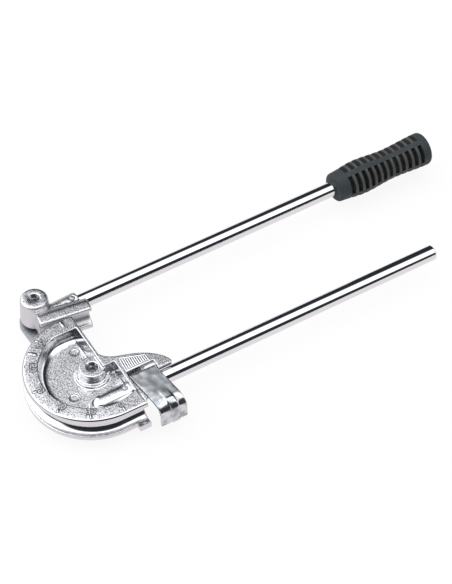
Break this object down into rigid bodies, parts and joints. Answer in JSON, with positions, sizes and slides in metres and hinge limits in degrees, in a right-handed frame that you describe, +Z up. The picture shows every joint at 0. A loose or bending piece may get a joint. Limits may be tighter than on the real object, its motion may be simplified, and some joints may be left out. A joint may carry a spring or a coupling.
{
  "type": "tube bender",
  "caption": "Lever tube bender with a grooved forming wheel on a fixed bar, a hinged tube clip, and a grooved shoe on a gripped bending handle that swings round the wheel.",
  "frame": {"origin": "on the forming wheel's pivot axis, at the underside of the pivot bolts' heads", "axes": "+X along the fixed handle to its free end, +Z up along the pivot axes"},
  "size_m": [0.4411, 0.1707, 0.0411],
  "materials": {
    "die_cast": "bright tumbled die casting",
    "chrome_bar": "bright chrome plate",
    "plated_clip": "smooth bright plate",
    "plated_steel": "zinc plate",
    "spring_steel": "oiled spring steel",
    "bronze_bush": "sintered bronze",
    "grip_rubber": "matt moulded rubber"
  },
  "bodies": {
    "wheel": {"forming_wheel": "die_cast", "fixed_handle_bar": "chrome_bar", "fixed_bar_pin": "plated_steel", "clip_hinge_pin": "plated_steel", "wheel_pivot_bolt": "plated_steel", "wheel_thrust_washer": "plated_steel", "wheel_disc_spring": "spring_steel"},
    "link": {"swing_link": "plated_steel", "wheel_pivot_bush": "bronze_bush", "head_pivot_bush": "bronze_bush"},
    "handle": {"bending_head": "die_cast", "head_pivot_bolt": "plated_steel", "head_thrust_washer": "plated_steel", "head_disc_spring": "spring_steel", "bending_handle_bar": "chrome_bar", "bending_bar_pin": "plated_steel", "handle_grip": "grip_rubber"},
    "clip": {"tube_clip": "plated_clip"}
  },
  "joints": [
    {"name": "link_swing", "type": "hinge", "parent": "wheel", "child": "link", "pos_m": [0, 0, 0.0083], "axis": [0, 0, 1], "range_deg": [0, 187.8]},
    {"name": "head_pivot", "type": "hinge", "parent": "link", "child": "handle", "pos_m": [-0.0083, 0.0874, 0.0083], "axis": [0, 0, 1], "range_deg": [0, 110]},
    {"name": "clip_hinge", "type": "hinge", "parent": "wheel", "child": "clip", "pos_m": [0.033, -0.0252, 0.0336], "axis": [-1, 0, 0], "range_deg": [0, 105]}
  ]
}
